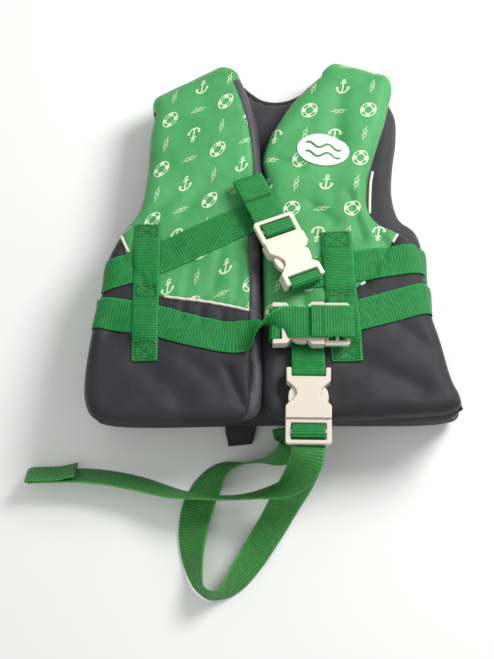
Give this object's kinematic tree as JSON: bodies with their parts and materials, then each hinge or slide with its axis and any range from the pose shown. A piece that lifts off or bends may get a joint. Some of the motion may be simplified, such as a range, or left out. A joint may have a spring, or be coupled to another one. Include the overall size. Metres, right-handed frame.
{
  "type": "life jacket",
  "caption": "Child's foam vest life jacket with printed chest panels, webbing belts round the chest and waist, a crotch strap, and side-release buckles, lying on its back.",
  "frame": {"origin": "on the face of the back that the jacket lies on, under the middle of the chest", "axes": "+X to the wearer's left, +Y towards the shoulders, +Z from the back to the fronts (up, as it lies)"},
  "size_m": [0.3442, 0.4497, 0.0871],
  "materials": {
    "print_fabric": "printed woven polyester, green with a pale nautical pattern",
    "grey_fabric": "plain woven nylon, dark grey",
    "lining": "plain woven nylon, dark grey",
    "foam": "closed-cell foam",
    "webbing": "woven polypropylene webbing",
    "piping": "cream woven piping",
    "buckle": "moulded acetal, satin",
    "patch": "raised soft plastic patch"
  },
  "bodies": {
    "vest": {"front_right_upper_cover": "print_fabric", "front_left_upper_cover": "print_fabric", "shoulder_right": "print_fabric", "shoulder_left": "print_fabric", "front_right_lower_cover": "grey_fabric", "front_left_lower_cover": "grey_fabric", "front_right_edge_band": "grey_fabric", "back_cover": "grey_fabric", "side_gusset_right": "grey_fabric", "side_gusset_left": "grey_fabric", "crotch_anchor": "grey_fabric", "neck_binding": "grey_fabric", "front_right_lining": "lining", "front_left_lining": "lining", "back_lining": "lining", "front_right_upper_foam": "foam", "front_right_lower_foam": "foam", "front_left_upper_foam": "foam", "front_left_lower_foam": "foam", "back_upper_foam": "foam", "back_lower_foam": "foam", "front_right_piping": "piping", "front_left_piping": "piping", "chest_patch": "patch", "belt_loop_right": "webbing", "belt_loop_left": "webbing", "chest_belt_right": "webbing", "chest_belt_left": "webbing", "waist_belt_right": "webbing", "waist_belt_left": "webbing", "chest_belt_back": "webbing", "waist_belt_back": "webbing", "chest_socket_webbing": "webbing", "waist_socket_webbing": "webbing", "crotch_tab": "webbing", "waist_lead": "webbing", "crotch_strap_drop": "webbing", "crotch_strap_loop": "webbing", "crotch_tail_drop": "webbing", "crotch_tail_run": "webbing", "chest_buckle_socket": "buckle", "waist_buckle_socket": "buckle", "crotch_buckle_socket": "buckle"},
    "chest_plug": {"chest_buckle_plug": "buckle", "chest_tail": "webbing"},
    "waist_plug": {"waist_buckle_plug": "buckle", "waist_tail": "webbing"},
    "crotch_plug": {"crotch_buckle_plug": "buckle", "crotch_adjuster_webbing": "webbing"},
    "chest_arm_a": {"chest_buckle_arm_a": "buckle"},
    "chest_arm_b": {"chest_buckle_arm_b": "buckle"},
    "waist_arm_a": {"waist_buckle_arm_a": "buckle"},
    "waist_arm_b": {"waist_buckle_arm_b": "buckle"},
    "crotch_arm_a": {"crotch_buckle_arm_a": "buckle"},
    "crotch_arm_b": {"crotch_buckle_arm_b": "buckle"}
  },
  "joints": [
    {"name": "chest_unclip", "type": "slide", "parent": "vest", "child": "chest_plug", "axis": [-0.4321, 0.8984, -0.0786], "range_m": [0, 0.026], "deforming": ["chest_buckle_arm_a", "chest_buckle_arm_b"]},
    {"name": "chest_release_a", "type": "hinge", "parent": "chest_plug", "child": "chest_arm_a", "pos_m": [0.01873, -0.01355, 0.07057], "axis": [-0.1875, -0.1747, -0.9666], "range_deg": [0, 7], "stiffness_Nm_per_rad": 0.3},
    {"name": "chest_release_b", "type": "hinge", "parent": "chest_plug", "child": "chest_arm_b", "pos_m": [-0.00068, -0.02242, 0.07594], "axis": [0.1875, 0.1747, 0.9666], "range_deg": [0, 7], "stiffness_Nm_per_rad": 0.3},
    {"name": "waist_unclip", "type": "slide", "parent": "vest", "child": "waist_plug", "axis": [1, 0, 0], "range_m": [0, 0.026], "deforming": ["waist_lead", "waist_buckle_arm_a", "waist_buckle_arm_b"]},
    {"name": "waist_release_a", "type": "hinge", "parent": "waist_plug", "child": "waist_arm_a", "pos_m": [0.0348, -0.09513, 0.07761], "axis": [0, -0.0872, -0.9962], "range_deg": [0, 7], "stiffness_Nm_per_rad": 0.3},
    {"name": "waist_release_b", "type": "hinge", "parent": "waist_plug", "child": "waist_arm_b", "pos_m": [0.0348, -0.07321, 0.07569], "axis": [0, 0.0872, 0.9962], "range_deg": [0, 7], "stiffness_Nm_per_rad": 0.3},
    {"name": "crotch_unclip", "type": "slide", "parent": "vest", "child": "crotch_plug", "axis": [-0.014, -0.9961, 0.0871], "range_m": [0, 0.026], "deforming": ["crotch_strap_drop", "crotch_tail_drop", "crotch_strap_loop", "crotch_tail_run", "crotch_buckle_arm_a", "crotch_buckle_arm_b"]},
    {"name": "crotch_release_a", "type": "hinge", "parent": "crotch_plug", "child": "crotch_arm_a", "pos_m": [0.01472, -0.15376, 0.07922], "axis": [0, -0.0872, -0.9962], "range_deg": [0, 7], "stiffness_Nm_per_rad": 0.3},
    {"name": "crotch_release_b", "type": "hinge", "parent": "crotch_plug", "child": "crotch_arm_b", "pos_m": [0.03672, -0.15406, 0.07925], "axis": [0, 0.0872, 0.9962], "range_deg": [0, 7], "stiffness_Nm_per_rad": 0.3}
  ]
}
